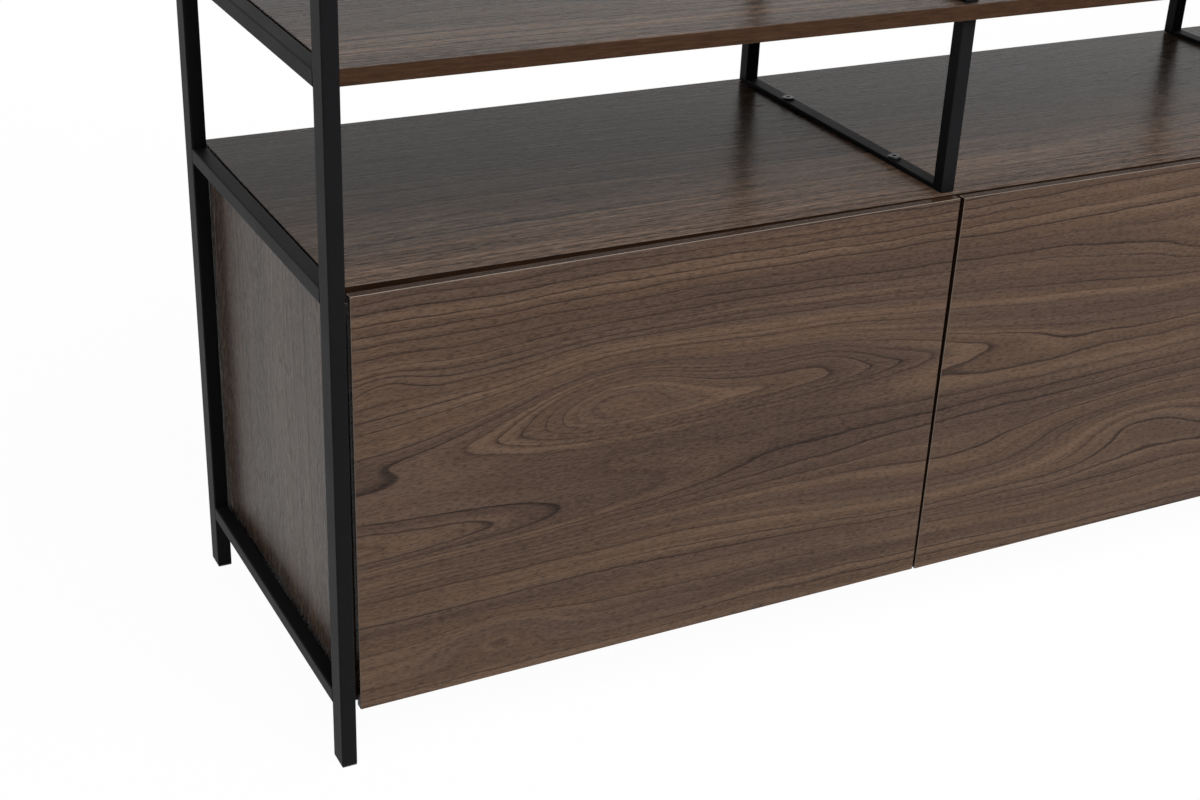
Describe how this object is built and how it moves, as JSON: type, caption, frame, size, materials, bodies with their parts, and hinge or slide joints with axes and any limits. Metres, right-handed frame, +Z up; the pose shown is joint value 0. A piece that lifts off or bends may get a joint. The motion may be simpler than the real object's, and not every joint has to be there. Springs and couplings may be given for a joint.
{
  "type": "low sideboard",
  "caption": "Low sideboard: walnut cabinet with handle-less side-hinged doors between black steel ladder frames, with open tiers on slim hoops above.",
  "frame": {"origin": "on the floor, at the middle of the width and of the depth", "axes": "+X to the right along the width as seen from the front, -Y out of the doors, +Z up"},
  "size_m": [2.03, 0.442, 0.907],
  "materials": {
    "powder_coated_steel": "fine-textured satin black powder coat",
    "walnut_veneer": "satin lacquered dark walnut veneer, grain along the width",
    "cabinet_lining": "satin walnut-coloured lining board",
    "bright_zinc": "pressed steel with bright zinc plating",
    "dark_plastic": "moulded dark grey plastic"
  },
  "bodies": {
    "carcass": {"cabinet_back": "cabinet_lining", "cabinet_bottom": "walnut_veneer", "cabinet_top": "walnut_veneer", "left_bottom_rail": "powder_coated_steel", "left_cabinet_rail": "powder_coated_steel", "left_front_foot": "dark_plastic", "left_front_post": "powder_coated_steel", "left_hoop_foot_bar": "powder_coated_steel", "left_hoop_front_screw": "powder_coated_steel", "left_hoop_rear_screw": "powder_coated_steel", "left_inner_shelf": "cabinet_lining", "left_latch_body": "dark_plastic", "left_lower_hinge_arm": "bright_zinc", "left_partition": "cabinet_lining", "left_rear_foot": "dark_plastic", "left_rear_post": "powder_coated_steel", "left_shelf_rail": "powder_coated_steel", "left_side_panel": "walnut_veneer", "left_top_rail": "powder_coated_steel", "left_upper_hinge_arm": "bright_zinc", "lower_left_hoop": "powder_coated_steel", "lower_right_hoop": "powder_coated_steel", "middle_inner_shelf": "cabinet_lining", "middle_latch_body": "dark_plastic", "middle_lower_hinge_arm": "bright_zinc", "middle_upper_hinge_arm": "bright_zinc", "right_bottom_rail": "powder_coated_steel", "right_cabinet_rail": "powder_coated_steel", "right_front_foot": "dark_plastic", "right_front_post": "powder_coated_steel", "right_hoop_foot_bar": "powder_coated_steel", "right_hoop_front_screw": "powder_coated_steel", "right_hoop_rear_screw": "powder_coated_steel", "right_inner_shelf": "cabinet_lining", "right_latch_body": "dark_plastic", "right_lower_hinge_arm": "bright_zinc", "right_partition": "cabinet_lining", "right_rear_foot": "dark_plastic", "right_rear_post": "powder_coated_steel", "right_shelf_rail": "powder_coated_steel", "right_side_panel": "walnut_veneer", "right_top_rail": "powder_coated_steel", "right_upper_hinge_arm": "bright_zinc", "tier_shelf": "walnut_veneer", "top_board": "walnut_veneer", "upper_left_hoop": "powder_coated_steel", "upper_right_hoop": "powder_coated_steel"},
    "left_door_leaf": {"left_door": "walnut_veneer", "left_lower_hinge_cup": "bright_zinc", "left_upper_hinge_cup": "bright_zinc"},
    "left_plunger": {"left_latch_plunger": "dark_plastic"},
    "middle_door_leaf": {"middle_door": "walnut_veneer", "middle_lower_hinge_cup": "bright_zinc", "middle_upper_hinge_cup": "bright_zinc"},
    "middle_plunger": {"middle_latch_plunger": "dark_plastic"},
    "right_door_leaf": {"right_door": "walnut_veneer", "right_lower_hinge_cup": "bright_zinc", "right_upper_hinge_cup": "bright_zinc"},
    "right_plunger": {"right_latch_plunger": "dark_plastic"}
  },
  "joints": [
    {"name": "left_door_hinge", "type": "hinge", "parent": "carcass", "child": "left_door_leaf", "pos_m": [-0.334, -0.2135, 0.2875], "axis": [0, 0, 1], "range_deg": [0, 90]},
    {"name": "middle_door_hinge", "type": "hinge", "parent": "carcass", "child": "middle_door_leaf", "pos_m": [0.321, -0.2135, 0.2875], "axis": [0, 0, 1], "range_deg": [0, 90]},
    {"name": "right_door_hinge", "type": "hinge", "parent": "carcass", "child": "right_door_leaf", "pos_m": [0.9904, -0.2135, 0.2875], "axis": [0, 0, 1], "range_deg": [0, 90]},
    {"name": "left_latch_push", "type": "slide", "parent": "carcass", "child": "left_plunger", "axis": [0, -1, 0], "range_m": [0, 0.0081]},
    {"name": "middle_latch_push", "type": "slide", "parent": "carcass", "child": "middle_plunger", "axis": [0, -1, 0], "range_m": [0, 0.0081]},
    {"name": "right_latch_push", "type": "slide", "parent": "carcass", "child": "right_plunger", "axis": [0, -1, 0], "range_m": [0, 0.0081]}
  ],
  "couplings": [
    {"joint": "left_latch_push", "follows": "left_door_hinge", "m_per_rad": 0.005093},
    {"joint": "middle_latch_push", "follows": "middle_door_hinge", "m_per_rad": 0.005093},
    {"joint": "right_latch_push", "follows": "right_door_hinge", "m_per_rad": 0.005093}
  ]
}
